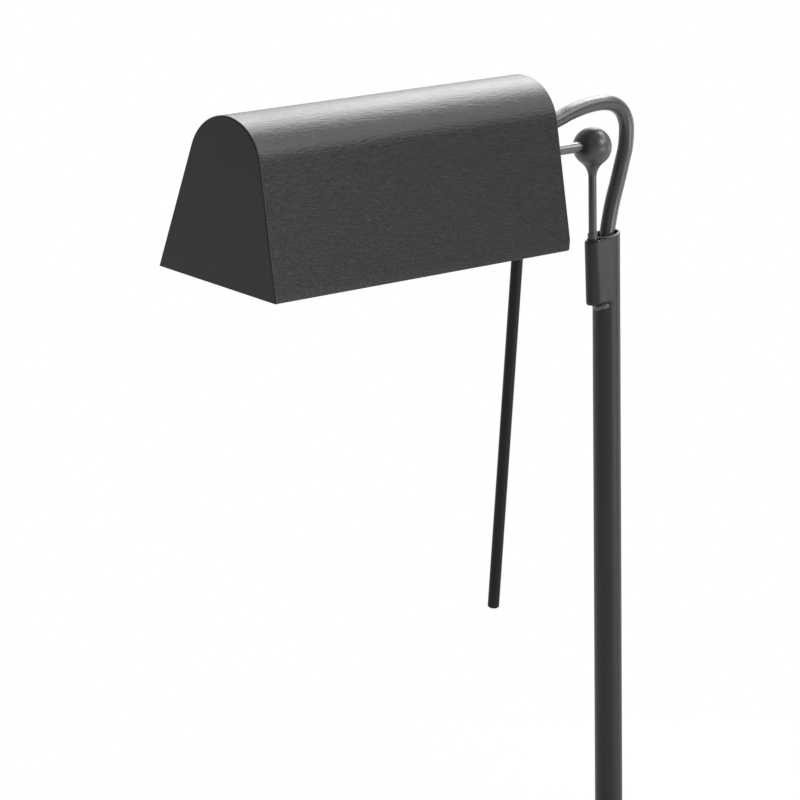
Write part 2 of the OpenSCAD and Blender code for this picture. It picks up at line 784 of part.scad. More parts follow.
module holder_cap() {
  color(moulding) at_bulb() difference() {
    rod_x(body_x, holder_cap_l, holder_cap_d);
    rod_x(body_x - through, holder_cap_l - holder_wall + through, holder_cap_d - 2 * holder_wall);
    rod_x(body_x, 2 * holder_cap_l, holder_nipple_d + 2 * seat);
  }
}

module holder_body() {
  color(moulding) at_bulb() difference() {
    rod_x(holder_front, holder_l, holder_d);
    rod_x(holder_front - through, holder_l - holder_wall + through, 2 * shell_r + 2 * seat);
    rod_x(holder_front - through, holder_l - holder_wall - shell_l + through, holder_d - 2 * holder_wall);
  }
}

module holder_shell() {
  color(brass) at_bulb() ring_x(floor_x - shell_l, shell_l, 2 * shell_r, 2 * (shell_r - shell_t));
}

module holder_contact() {
  color(brass) at_bulb() rod_x(floor_x - contact_t, contact_t, screw_cap_d / 2);
}

// Bulb
module bulb_cap() {
  color(steel) at_bulb() difference() {
    rod_x(glass_x, screw_cap_l, screw_cap_d);
    rod_x(glass_x - through, glass_seat + through, 2 * glass_neck_r + 2 * seat);
  }
}

module bulb_outline(inset) {
  r = bulb_d / 2 - inset;
  neck = glass_neck_r - inset;
  shoulder = bulb_d / 2;
  top = bulb_l - bulb_d / 2;
  polygon([[0, -glass_seat], [neck, -glass_seat], [neck, glass_seat], [r, glass_seat + shoulder],
    [r, top], [0, top]]);
  intersection() {
    translate([0, top]) circle(r);
    translate([0, top]) square(bulb_d);
  }
}

module bulb_glass() {
  color(opal) at_bulb() translate([glass_x, 0, 0]) rotate([0, -90, 0]) rotate_extrude() difference() {
    bulb_outline(0);
    bulb_outline(glass_wall);
  }
}

base_pad();
bottom_plate();
plate_screws();
base_weight();
base_cover();
lead_gland();
terminal_block();
terminal_screws();
lead_cores();
stem_nipple();
stem_washer();
stem_nut();
stem_foot();
stem_tube();
stem_lead();
swivel_socket();
swivel_bush();
loop_lead_lower();
swivel_ball();
spindle_clip();
tilt_pin();
tilt_washer();
tilt_nut();
handle_washer();
handle_rod();
pin_washer();
pin_nut();
shade_barrel();
stem_end_cap();
free_end_cap();
cap_grommet();
loop_lead_upper();
head_lead();
holder_bracket();
bracket_rivets();
holder_nipple();
nipple_nut();
holder_cap();
holder_body();
holder_shell();
holder_contact();
bulb_cap();
bulb_glass();
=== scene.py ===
# %% [markdown]
# # A black table lamp
# The lamp has an arched sheet-metal shade on a ball knuckle, a thin handle rod and a slim upright stem on a
# round base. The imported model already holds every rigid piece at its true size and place. This lesson puts
# a camera in front of it, bends the lead, forms the pieces whose edges and details show, and gives each
# piece its finish.

# %% Frame and units
import json
import math

import bpy
from mathutils import Matrix, Vector


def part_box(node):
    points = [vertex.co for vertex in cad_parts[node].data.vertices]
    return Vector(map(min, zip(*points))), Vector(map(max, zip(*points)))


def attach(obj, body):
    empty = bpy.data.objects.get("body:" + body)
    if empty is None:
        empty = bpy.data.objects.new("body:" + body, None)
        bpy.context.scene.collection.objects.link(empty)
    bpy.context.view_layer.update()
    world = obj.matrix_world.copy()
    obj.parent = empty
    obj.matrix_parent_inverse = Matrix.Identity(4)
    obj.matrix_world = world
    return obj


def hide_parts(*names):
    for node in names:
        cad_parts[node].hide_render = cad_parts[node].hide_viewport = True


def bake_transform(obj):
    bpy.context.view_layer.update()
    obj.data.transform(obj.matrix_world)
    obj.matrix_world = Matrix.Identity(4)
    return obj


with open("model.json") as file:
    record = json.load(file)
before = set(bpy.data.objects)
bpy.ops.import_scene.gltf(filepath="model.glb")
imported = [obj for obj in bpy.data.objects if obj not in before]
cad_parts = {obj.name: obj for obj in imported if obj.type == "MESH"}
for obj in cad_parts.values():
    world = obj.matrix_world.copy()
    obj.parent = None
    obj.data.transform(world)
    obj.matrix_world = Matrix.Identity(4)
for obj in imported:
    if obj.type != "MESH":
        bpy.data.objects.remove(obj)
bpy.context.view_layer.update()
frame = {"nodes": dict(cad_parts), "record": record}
nodes = frame["nodes"]
scene = bpy.context.scene
MM = 0.001

# %% [markdown]
# ## Camera
# The photograph was taken with a long lens from in front of the shade's free end, a little above it. The
# lens and the three turns below come from fitting the shade's outline, the stem and the rod together, so
# the render can be laid over the photograph. The turns are applied in the order of a tripod: pan, then
# tilt, then a slight roll of the camera.

# %% Camera
CAMERA_PLACE = Vector((-1421.3, -1290.2, 633.84)) * MM
CAMERA_PAN = math.radians(-45.105)
CAMERA_TILT = math.radians(90 - 11.026)
CAMERA_ROLL = math.radians(-0.773)
CAMERA_SENSOR = 36
CAMERA_LENS = 203.87
CAMERA_SIGHT = 50

bpy.ops.object.select_all(action="DESELECT")
bpy.ops.object.camera_add()
camera = bpy.context.object
camera.name = "camera"
turn = Matrix.Rotation(CAMERA_PAN, 4, "Z") @ Matrix.Rotation(CAMERA_TILT, 4, "X")
camera.matrix_world = Matrix.Translation(CAMERA_PLACE) @ turn @ Matrix.Rotation(CAMERA_ROLL, 4, "Z")
camera.data.sensor_width = CAMERA_SENSOR
camera.data.lens = CAMERA_LENS
camera.data.clip_end = CAMERA_SIGHT
scene.camera = camera
print("camera:", round(camera.data.lens, 1), "mm lens at", [round(v, 3) for v in CAMERA_PLACE])

# %% [markdown]
# ## Lead
# A round rubber-sheathed lead leaves the stem's open mouth, loops over the ball and enters the shade's end.
# It is held at both ends, so it follows the two joints between them. One mesh can only bend across one
# joint. It is made in two lengths that meet at the side of the loop: the lower one from the stem's mouth and
# the upper one to the shade. The route's points are in millimetres, from the stem's axis at the height of
# the ball. A curve with a round bevel gives the tube, because its line is then the lead's own centre line.

# %% Route of the lead
BALL = Vector((-8.5, 0, 370)) * MM
LEAN = math.radians(7)
LEAD_D = 6.6 * MM
HOLE_X = -54
HOLE_RISE = 11.5
HOLE = (HOLE_X, -HOLE_RISE * math.sin(LEAN), HOLE_RISE * math.cos(LEAN))
LOOP = [(0, 0, -50), (0, 0, -47), (0, 0, -44), (0.5, 0, -39.5), (1.6, 0, -34), (4.2, 0, -25),
        (7.5, 0, -16.5), (10.6, 0, -8), (12.6, 0, -2), (13.3, 0, 4.5), (12.8, 0, 9), (10.2, 0, 13.6),
        (5, 0, 16.9), (-2.5, 0, 18.2), (-12, 0, 17.8), (-22, -0.2, 16.2), (-30, -0.6, 14.2), (-38, -1, 12.4),
        (HOLE[0] + 8, HOLE[1], HOLE[2]), (HOLE[0] + 4, HOLE[1], HOLE[2]), HOLE]
LOOP_SPLIT = 9
LOOP_STEPS = 8


def smooth_line(points, steps):
    """A curve through the points, cubic between each pair, with tangents from the neighbours."""
    points = [Vector(p) for p in points]
    line = []
    for i in range(len(points) - 1):
        a, b, c, d = (points[max(0, min(len(points) - 1, k))] for k in (i - 1, i, i + 1, i + 2))
        for t in (step / steps for step in range(steps)):
            line.append(0.5 * (2 * b + (c - a) * t + (2 * a - 5 * b + 4 * c - d) * t ** 2
                               + (3 * b - a - 3 * c + d) * t ** 3))
    return line + [points[-1]]


loop_line = [p * MM + Vector((0, 0, BALL.z)) for p in smooth_line(LOOP, LOOP_STEPS)]
loop_middle = LOOP_SPLIT * LOOP_STEPS
print("lead loop:", len(loop_line), "points, split at", [round(v, 4) for v in loop_line[loop_middle]])

# %% Round tubes
TUBE_STEPS = 14
SMOOTH_ANGLE = math.radians(50)


def line_length(line):
    """The length along a line of points."""
    return sum((b - a).length for a, b in zip(line, line[1:]))


def alone(piece):
    """Selects a piece and nothing else."""
    bpy.ops.object.select_all(action="DESELECT")
    piece.select_set(True)
    bpy.context.view_layer.objects.active = piece


def round_tube(name, line, radius, ring=False, swell=None):
    """A round tube along a line, with closed ends or as a ring. Swell varies its thickness on its way."""
    curve = bpy.data.curves.new(name, "CURVE")
    curve.dimensions = "3D"
    curve.bevel_depth = radius
    curve.bevel_resolution = TUBE_STEPS
    curve.use_fill_caps = True
    spline = curve.splines.new("POLY")
    spline.use_cyclic_u = ring
    spline.points.add(len(line) - 1)
    for point, place, share in zip(spline.points, line, swell or [1.0] * len(line)):
        point.co = (*place, 1)
        point.radius = share
    piece = bpy.data.objects.new(name, curve)
    scene.collection.objects.link(piece)
    alone(piece)
    bpy.ops.object.convert(target="MESH")
    bpy.ops.object.shade_smooth_by_angle(angle=SMOOTH_ANGLE)
    print(name, len(piece.data.vertices), "points,", round(1000 * line_length(line), 1), "mm")
    return piece


# %% Two lengths of lead
lower_line = loop_line[:loop_middle + 1]
upper_line = loop_line[:loop_middle - 1:-1]
lower_lead = round_tube("lead_lower_loop", lower_line, LEAD_D / 2)
upper_lead = round_tube("lead_upper_loop", upper_line, LEAD_D / 2)
for piece, node, line in ((lower_lead, "loop_lead_lower", lower_line),
                          (upper_lead, "loop_lead_upper", upper_line)):
    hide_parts(node)
    line_length(line)

# %% [markdown]
# ## Studio
# The photograph has a pure white surround. The world and the floor are white to the camera, to reflections
# and through glass, and give a lower, plain level of light to the surfaces. In reflections only the
# backdrop's side of the room is white and the rest is dim, as in a studio, which keeps the black paint
# black. Shader sums are easier to read as formulas than as nodes, so a small class turns the one into the
# other.

# %% Shader sums


class Signal:
    """A socket of a node tree. Sums and products of signals and numbers add Math nodes."""

    def __init__(self, tree, socket=None):
        self.tree = tree
        self.socket = socket

    def node(self, kind, settings=None, inputs=None, out=0):
        """Adds a node, makes its settings, fills or links its inputs, and gives one of its outputs."""
        made = self.tree.nodes.new(kind)
        for name, value in (settings or {}).items():
            setattr(made, name, value)
        for name, value in (inputs or {}).items():
            if isinstance(value, Signal):
                self.tree.links.new(value.socket, made.inputs[name])
            else:
                made.inputs[name].default_value = value
        return Signal(self.tree, made.outputs[out] if made.outputs else None)

    def maths(self, operation, first, second):
        """Adds a Math node."""
        return self.node("ShaderNodeMath", {"operation": operation}, {0: first, 1: second})

    def __add__(self, other):
        return self.maths("ADD", self, other)

    def __sub__(self, other):
        return self.maths("SUBTRACT", self, other)

    def __rsub__(self, other):
        return self.maths("SUBTRACT", other, self)

    def __mul__(self, other):
        return self.maths("MULTIPLY", self, other)

    def __pow__(self, other):
        return self.maths("POWER", self, other)

    def at_most(self, other):
        return self.maths("MINIMUM", self, other)

    def at_least(self, other):
        return self.maths("MAXIMUM", self, other)

    __radd__ = __add__
    __rmul__ = __mul__


# %% World
AMBIENT = 0.4
ROOM = 0.35
BACKDROP_SIDE = (0.74, 0.67, 0)
BACKDROP_RISE = 1.5
BACKDROP_START = 0.2
WHITE = (1, 1, 1, 1)


def seen_directly(start):
    """1 for camera rays, reflections and rays through glass, 0 for diffuse light."""
    camera_ray = start.node("ShaderNodeLightPath", out="Is Camera Ray")
    glossy_ray = start.node("ShaderNodeLightPath", out="Is Glossy Ray")
    through_ray = start.node("ShaderNodeLightPath", out="Is Transmission Ray")
    return camera_ray.at_least(glossy_ray).at_least(through_ray)


world = bpy.data.worlds.new("white_studio")
scene.world = world
world.use_nodes = True
world.node_tree.nodes.clear()
air = Signal(world.node_tree)
heading = air.node("ShaderNodeTexCoord", out="Generated")
facing = air.node("ShaderNodeVectorMath", {"operation": "DOT_PRODUCT"}, {0: heading, 1: BACKDROP_SIDE},
                  out="Value")
backdrop = (facing * BACKDROP_RISE - BACKDROP_START).at_least(0.0).at_most(1.0)
direct = air.node("ShaderNodeLightPath", out="Is Camera Ray")
mirrored = ROOM + (1 - ROOM) * backdrop
seen = direct.at_least(mirrored)
strength = AMBIENT + (seen - AMBIENT) * seen_directly(air)
glow = air.node("ShaderNodeBackground", inputs={"Color": WHITE, "Strength": strength})
air.node("ShaderNodeOutputWorld", inputs={"Surface": glow})
scene.view_settings.view_transform = "Standard"
print("world ambient", AMBIENT, "room", ROOM)

# %% Floor
FLOOR_SIZE = 8
FLOOR_PAPER = (0.85, 0.85, 0.85, 1)
FLOOR_SHADE = 0.35
SHADOW_REACH = 0.45
SHADOW_FADE = 3

bpy.ops.object.select_all(action="DESELECT")
bpy.ops.mesh.primitive_plane_add(size=FLOOR_SIZE)
floor = bpy.context.object
floor.name = "floor"
floor_white = bpy.data.materials.new("floor_white")
floor_white.use_nodes = True
floor_white.node_tree.nodes.clear()
ground = Signal(floor_white.node_tree)
paper = ground.node("ShaderNodeBsdfDiffuse", inputs={"Color": FLOOR_PAPER})
white = ground.node("ShaderNodeEmission", inputs={"Color": WHITE, "Strength": 1.0})
spot = ground.node("ShaderNodeTexCoord", out="Object")
reach = ground.node("ShaderNodeVectorMath", {"operation": "LENGTH"}, {0: spot}, out="Value")
far = (reach * (1 / SHADOW_REACH)).at_most(1.0)
share = (1 - FLOOR_SHADE + FLOOR_SHADE * far ** SHADOW_FADE) * seen_directly(ground)
both = ground.node("ShaderNodeMixShader", inputs={0: share, 1: paper, 2: white})
ground.node("ShaderNodeOutputMaterial", inputs={"Surface": both})
floor.data.materials.append(floor_white)
print("floor shade", FLOOR_SHADE)

# %% [markdown]
# ## Lamps
# Three strip lamps hang above and behind the table lamp, side by side across the shade's curve, and draw
# the bright band on its crown. Two low panels and a small lamp stand on the right, and light the side of
# the ball, the lead and the stem. All are soft: a hard lamp would draw sharp glints, which the photograph
# doesn't show.

# %% Lamps


def soft_lamp(name, place, aim, size, power, square_to=(0, 0, 1)):
    """A soft lamp that points at a place, its length square to an axis. The camera doesn't see it."""
    bpy.ops.object.select_all(action="DESELECT")
    bpy.ops.object.light_add(type="AREA", location=place)
    lamp = bpy.context.object
    lamp.name = name
    lamp.data.shape = "RECTANGLE"
    lamp.data.size, lamp.data.size_y = size
    lamp.data.energy = power
    back = (Vector(place) - Vector(aim)).normalized()
    along = Vector(square_to).cross(back).normalized()
    facing_aim = Matrix((along, back.cross(along), back)).transposed().to_4x4()
    lamp.matrix_world = Matrix.Translation(place) @ facing_aim
    lamp.visible_camera = False
    print(name, power, "W")


SHADE_MIDDLE = Vector((-0.14, 0, 0.37))
SHADE_AXIS = (1, 0, 0)
KNUCKLE = (0, 0, 0.34)
STRIP_AWAY = 3.0
STRIP_PLACE = SHADE_MIDDLE + STRIP_AWAY * Vector((0.70, 0.17, 0.69))
STRIP_END_PLACE = SHADE_MIDDLE + STRIP_AWAY * Vector((0.70, -0.47, 0.54))
STRIP_START_PLACE = SHADE_MIDDLE + STRIP_AWAY * Vector((0.70, 0.55, 0.45))
soft_lamp("strip_lamp", STRIP_PLACE, SHADE_MIDDLE, size=(1.9, 1.0), power=54, square_to=SHADE_AXIS)
soft_lamp("strip_end", STRIP_END_PLACE, SHADE_MIDDLE, size=(1.7, 1.0), power=19, square_to=SHADE_AXIS)
soft_lamp("strip_start", STRIP_START_PLACE, SHADE_MIDDLE, size=(1.2, 1.2), power=13, square_to=SHADE_AXIS)
soft_lamp("side_panel", (0.43, -1.41, 0.16), KNUCKLE, size=(0.9, 0.32), power=4.7)
soft_lamp("back_panel", (1.72, -0.53, 0.16), KNUCKLE, size=(0.8, 0.32), power=1.6)
soft_lamp("side_lamp", (0.44, -1.06, 0.95), KNUCKLE, size=(0.3, 0.3), power=6)

# %% [markdown]
# ## Finishes
# Every finish starts from the same few nodes: object coordinates in metres, noises whose scale is a count
# per metre, and one main shader. A narrow bevel read by the shader rounds the sharp edges of the rigid
# pieces, as a coat of paint does. Modelling those small roundings on every piece would cost many faces and
# look the same.

# %% Start of a finish
PAINT_EDGE = 0.3 * MM
METAL_EDGE = 0.2 * MM
MOULDED_EDGE = 0.5 * MM
EDGE_SAMPLES = 6
COOL = 1.02
MIX_SHARE, MIX_LOW, MIX_HIGH, MIX_RESULT = 0, 6, 7, 2


def finish(name):
    """A new material and its object coordinates."""
    material = bpy.data.materials.new(name)
    material.use_nodes = True
    material.node_tree.nodes.clear()
    place = Signal(material.node_tree).node("ShaderNodeTexCoord", out="Object")
    return material, place


def noise(place, scale, detail=2.0, stretch=None):
    """A noise from 0 to 1 with scale cells per metre; stretch squeezes its axes."""
    if stretch:
        place = place.node("ShaderNodeMapping", inputs={"Vector": place, "Scale": stretch})
    inputs = {"Vector": place, "Scale": scale, "Detail": detail}
    return place.node("ShaderNodeTexNoise", inputs=inputs, out="Fac")


def tint(place, share, low, high):
    """A colour between two greys or colours."""
    inputs = {MIX_SHARE: share, MIX_LOW: low, MIX_HIGH: high}
    return place.node("ShaderNodeMix", {"data_type": "RGBA"}, inputs, out=MIX_RESULT)


def grey(value):
    """A grey that is very slightly cool."""
    return (value, value, value * COOL, 1)


def rounded(place, radius):
    """The surface's direction with its sharp edges rounded."""
    return place.node("ShaderNodeBevel", {"samples": EDGE_SAMPLES}, {"Radius": radius})


def bump(place, height, distance, strength, edge=None):
    """The surface's direction with a fine relief, and with rounded edges if these are given."""
    inputs = {"Height": height, "Distance": distance, "Strength": strength}
    if edge:
        inputs["Normal"] = edge
    return place.node("ShaderNodeBump", inputs=inputs)


def coat(place, **sockets):
    """The main shader and the material's output."""
    shader = place.node("ShaderNodeBsdfPrincipled", inputs=sockets)
    place.node("ShaderNodeOutputMaterial", inputs={"Surface": shader})


# %% [markdown]
# ### Black paint
# The end caps, the stem, its socket and the base are sprayed with matt enamel, which dries to a fine peel.
# The shade's paint shows lines along its length instead, as if it had been rubbed down. Two noises drawn
# out along the shade give its hairs and its broader lines. They tint the black, change its gloss and raise
# it a little.

# %% Matt enamel
enamel, at = finish("matt_black_enamel")
peel = noise(at, 1400)
cloud = noise(at, 40, detail=3.0)
coat(at, **{
    "Base Color": tint(at, cloud, grey(0.011), grey(0.015)),
    "Roughness": 0.36 + 0.08 * cloud,
    "Specular IOR Level": 0.4,
    "Normal": bump(at, peel, 0.08 * MM, 0.4, rounded(at, PAINT_EDGE)),
})

# %% Brushed enamel of the shade
brushed, at = finish("brushed_black_enamel")
hair = noise(at, 1.0, stretch=(420, 2600, 2600))
lines = noise(at, 1.0, stretch=(220, 1500, 1500))
peel = noise(at, 500)
cloud = noise(at, 30, detail=3.0)
coat(at, **{
    "Base Color": tint(at, 0.7 * lines + 0.5 * hair - 0.1, grey(0.007), grey(0.020)),
    "Roughness": 0.24 + 0.08 * lines + 0.05 * cloud,
    "Specular IOR Level": 0.3,
    "Normal": bump(at, 0.5 * hair + 0.8 * lines + 0.2 * peel, 0.2 * MM, 0.7, rounded(at, PAINT_EDGE)),
})

# %% [markdown]
# ### Dark steel
# The ball, its spindle and the pin are blackened steel, with more gloss than the paint. A noise that is
# squeezed along the upright axis leaves the faint rings of a lathe. The handle rod is the darkest piece and
# reflects little. The sleeve on the pin is bare burnished metal. A thin ring along the stem's mouth is given
# a lighter grey, as a painted highlight on the rim. The braze bead is also given a lighter grey than the
# paint round it, as a painted highlight.

# %% Blackened steel
blackened, at = finish("blackened_steel")
cloud = noise(at, 120, detail=3.0)
turned = noise(at, 1.0, stretch=(500, 500, 3000))
coat(at, **{
    "Base Color": tint(at, cloud, grey(0.034), grey(0.046)),
    "Roughness": 0.32 + 0.08 * cloud,
    "Specular IOR Level": 0.6,
    "Normal": bump(at, turned, 0.03 * MM, 0.2, rounded(at, METAL_EDGE)),
})

# %% Black of the handle rod
rod_black, at = finish("rod_black")
cloud = noise(at, 90, detail=3.0)
coat(at, **{
    "Base Color": tint(at, cloud, grey(0.006), grey(0.010)),
    "Roughness": 0.34 + 0.08 * cloud,
    "Specular IOR Level": 0.2,
    "Normal": rounded(at, PAINT_EDGE),
})

# %% Painted highlights on the stem's rim and on the braze
# The lighter grey of the ring along the stem's mouth is a painted highlight.
rim_highlight_finish, at = finish("painted_rim_highlight")
rim_highlight_noise = noise(at, 900, detail=3.0)
coat(at, **{
    "Base Color": tint(at, rim_highlight_noise, grey(0.10), grey(0.20)),
    "Roughness": 0.34 + 0.1 * rim_highlight_noise,
    "Specular IOR Level": 0.5,
})

# The bead's grey, lighter than the paint round it, is a painted highlight.
braze, at = finish("braze_with_painted_highlight")
runs = noise(at, 700, detail=3.0)
coat(at, **{
    "Base Color": tint(at, runs, grey(0.06), grey(0.15)),
    "Roughness": 0.28 + 0.12 * runs,
    "Specular IOR Level": 0.5,
    "Normal": bump(at, runs, 0.2 * MM, 0.5),
})

# %% Burnished steel
burnished, at = finish("burnished_steel")
cloud = noise(at, 300, detail=3.0)
coat(at, **{
    "Base Color": tint(at, cloud, grey(0.13), grey(0.18)),
    "Metallic": 1.0,
    "Roughness": 0.26 + 0.08 * cloud,
    "Normal": rounded(at, METAL_EDGE),
})

# %% [markdown]
# ### Lead sheath
# The sheath is smooth black rubber with a dull gloss, so the lamps draw a soft line along the loop. A very
# fine grain keeps that line from looking like glass.

# %% Lead sheath
sheath, at = finish("black_lead_sheath")
cloud = noise(at, 60)
grain = noise(at, 2500)
coat(at, **{
    "Base Color": tint(at, cloud, grey(0.036), grey(0.048)),
    "Roughness": 0.24 + 0.06 * cloud,
    "Specular IOR Level": 0.65,
    "Normal": bump(at, grain, 0.03 * MM, 0.08),
})

# %% [markdown]
# ### Finishes inside and below
# Nuts, washers, the lampholder, the weight and the cores are inside the lamp or under it. They show when
# the shade is tilted or a piece is taken off, so each gets a plain finish of its own. The three cores are
# one node, so their colours change with their place across the terminal block.

# %% Plated steel and iron
plated, at = finish("plated_steel")
cloud = noise(at, 200, detail=3.0)
coat(at, **{
    "Base Color": tint(at, cloud, (0.52, 0.53, 0.55, 1), (0.62, 0.63, 0.65, 1)),
    "Metallic": 1.0,
    "Roughness": 0.25 + 0.15 * cloud,
    "Normal": rounded(at, METAL_EDGE),
})

iron, at = finish("raw_iron")
pits = noise(at, 600, detail=4.0)
coat(at, **{
    "Base Color": tint(at, pits, grey(0.05), grey(0.10)),
    "Roughness": 0.6 + 0.2 * pits,
    "Normal": bump(at, pits, 0.3 * MM, 0.5),
})

# %% Felt and rubber
felt, at = finish("pressed_felt")
fibre = noise(at, 3500, detail=4.0)
coat(at, **{
    "Base Color": tint(at, fibre, grey(0.012), grey(0.035)),
    "Roughness": 0.95,
    "Normal": bump(at, fibre, 0.3 * MM, 0.7),
})

rubber, at = finish("black_rubber")
cloud = noise(at, 300)
coat(at, **{
    "Base Color": tint(at, cloud, grey(0.014), grey(0.022)),
    "Roughness": 0.55 + 0.1 * cloud,
    "Normal": rounded(at, PAINT_EDGE),
})

# %% Mouldings and brass
moulding, at = finish("black_moulding")
cloud = noise(at, 300)
coat(at, **{
    "Base Color": tint(at, cloud, grey(0.016), grey(0.022)),
    "Roughness": 0.35 + 0.1 * cloud,
    "Normal": rounded(at, MOULDED_EDGE),
})

brass, at = finish("plain_brass")
cloud = noise(at, 200, detail=3.0)
coat(at, **{
    "Base Color": tint(at, cloud, (0.60, 0.42, 0.16, 1), (0.72, 0.53, 0.24, 1)),
    "Metallic": 1.0,
    "Roughness": 0.3 + 0.15 * cloud,
    "Normal": rounded(at, METAL_EDGE),
})

# %% Opal glass and cores
CORE_EDGE = 1 * MM
BROWN = (0.16, 0.06, 0.025, 1)
BLUE = (0.03, 0.10, 0.36, 1)
GREEN = (0.20, 0.36, 0.05, 1)

opal, at = finish("opal_glass")
cloud = noise(at, 80)
coat(at, **{
    "Base Color": tint(at, cloud, (0.80, 0.79, 0.76, 1), (0.86, 0.85, 0.82, 1)),
    "Roughness": 0.18 + 0.06 * cloud,
    "Coat Weight": 0.3,
})

cores, at = finish("core_insulation")
across = at.node("ShaderNodeSeparateXYZ", inputs={0: at}, out="Y")
blue_on = across.maths("GREATER_THAN", across, -CORE_EDGE)
green_on = across.maths("GREATER_THAN", across, CORE_EDGE)
coat(at, **{
    "Base Color": tint(at, green_on, tint(at, blue_on, BROWN, BLUE), GREEN),
    "Roughness": 0.4,
})
print("finishes:", len(bpy.data.materials))

# %% Finish of each carried-over node
FINISH_OF_SLOT = {"black_paint": enamel, "brushed_black": brushed, "dark_steel": blackened,
                  "plated_steel": plated, "iron": iron, "felt": felt, "rubber": rubber,
                  "lead_sheath": sheath, "core_insulation": cores, "moulding": moulding,
                  "brass": brass, "opal_glass": opal}
FINISH_OF_NODE = {"handle_rod": rod_black, "bracket_rivets": blackened}
slot_of = {part["node"]: part["material_slot"] for part in frame["record"]["subparts"]}
for name, node in nodes.items():
    node.data.materials.clear()
    node.data.materials.append(FINISH_OF_NODE.get(name) or FINISH_OF_SLOT[slot_of[name]])
for piece in (lower_lead, upper_lead):
    piece.data.materials.append(sheath)

# %% [markdown]
# ## Tools for the modelled pieces
# Each piece below starts from a simple shape. Its vertices, edges or faces are then chosen by where they
# are, drawn out, cut or rounded, and the piece gets its finish, its body and the node that it stands for.

# %% Tools in edit mode


def choose(kind, test):
    """In edit mode, selects only the vertices, edges or faces whose corners all pass a test."""
    mesh = bpy.context.object.data
    bpy.ops.mesh.select_mode(type=kind)
    bpy.ops.mesh.select_all(action="DESELECT")
    bpy.ops.object.mode_set(mode="OBJECT")
    places = [v.co for v in mesh.vertices]
    items = {"VERT": mesh.vertices, "EDGE": mesh.edges, "FACE": mesh.polygons}[kind]
    for item in items:
        corners = [item.co] if kind == "VERT" else [places[k] for k in item.vertices]
        item.select = all(test(corner) for corner in corners)
    bpy.ops.object.mode_set(mode="EDIT")


def pull(x, y, z):
    """In edit mode, draws what is selected out to a new place."""
    bpy.ops.mesh.extrude_region_move(TRANSFORM_OT_translate={"value": (x, y, z)})


def slice_off(place, normal, above, fill=False):
    """In edit mode, cuts at a plane and drops what is above or below it."""
    bpy.ops.mesh.select_all(action="SELECT")
    bpy.ops.mesh.bisect(plane_co=place, plane_no=normal, use_fill=fill, clear_outer=above,
                        clear_inner=not above)


# %% Tools for whole pieces
ROUND_POINTS = 128


def started(name):
    """The shape just added, with its name and with its place kept in its mesh."""
    piece = bpy.context.object
    piece.name = name
    bpy.ops.object.transform_apply(location=True, rotation=True, scale=True)
    return piece


def upright(name, radius, low, high, x=0.0, ends="NGON", widen=0.0):
    """A round upright shape between two heights. It may widen on its way up, by a share of its height."""
    bpy.ops.object.select_all(action="DESELECT")
    bpy.ops.mesh.primitive_cone_add(vertices=ROUND_POINTS, radius1=radius,
                                    radius2=radius + widen * (high - low), depth=high - low,
                                    end_fill_type=ends, location=(x, 0, (low + high) / 2))
    return started(name)


def apply_all(piece):
    """Applies a piece's modifiers from the top down."""
    alone(piece)
    for modifier in list(piece.modifiers):
        bpy.ops.object.modifier_apply(modifier=modifier.name)


def join(piece, others):
    """Joins other pieces into a piece."""
    alone(piece)
    for other in others:
        other.select_set(True)
    bpy.ops.object.join()


def cut(piece, tool):
    """Takes a tool's volume out of a piece and removes the tool."""
    taken = piece.modifiers.new("cut", "BOOLEAN")
    taken.operation = "DIFFERENCE"
    taken.solver = "EXACT"
    taken.object = tool
    apply_all(piece)
    bpy.data.objects.remove(tool)


# %% Walls and edges
EDGE_STEPS = 4
EDGE_ANGLE = math.radians(40)
FACE_WEIGHT = 100


def thicken(piece, thickness):
    """Gives a sheet its thickness, inwards."""
    wall = piece.modifiers.new("wall", "SOLIDIFY")
    wall.thickness = thickness
    wall.offset = -1
    wall.use_even_offset = True
    apply_all(piece)


def even_shading(piece):
    """Shades a piece so that narrow roundings don't bend the reflections of its large faces."""
    alone(piece)
    bpy.ops.object.shade_smooth_by_angle(angle=SMOOTH_ANGLE)
    even = piece.modifiers.new("even_shading", "WEIGHTED_NORMAL")
    even.mode = "FACE_AREA"
    even.weight = FACE_WEIGHT
    even.keep_sharp = True
    apply_all(piece)


def round_edges(piece, width):
    """Rounds the sharp edges of a piece and shades it."""
    edges = piece.modifiers.new("edges", "BEVEL")
    edges.width = width
    edges.segments = EDGE_STEPS
    edges.limit_method = "ANGLE"
    edges.angle_limit = EDGE_ANGLE
    apply_all(piece)
    even_shading(piece)


# %% Finish and place


def dress(piece, material, body, node=None):
    """Gives a piece its finish, the body it rides on and the node that it stands for."""
    piece.data.materials.clear()
    piece.data.materials.append(material)
    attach(piece, body)
    if node:
        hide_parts(node)
    print(piece.name, "on", body, len(piece.data.polygons), "faces")


def lean_head(piece):
    """Moves a piece modelled round the tilt pin to the leaning head."""
    alone(piece)
    piece.location = BALL
    piece.rotation_euler = (LEAN, 0, 0)
    bpy.ops.object.transform_apply(location=True, rotation=True, scale=True)


# %% [markdown]
# ## Shade barrel
# The barrel is one sheet, rolled over a round crown, with straight flared sides. It is modelled as it is
# bent: a circle gives the crown's line, its lower part is cut away, both ends are drawn down along the
# sides to the rim, and the line is drawn out to the shade's length. Towards the knuckle both rims are
# pressed upright, and their corners are rounded. The sheet then gets its thickness and soft edges. Heights
# are measured from the tilt pin.

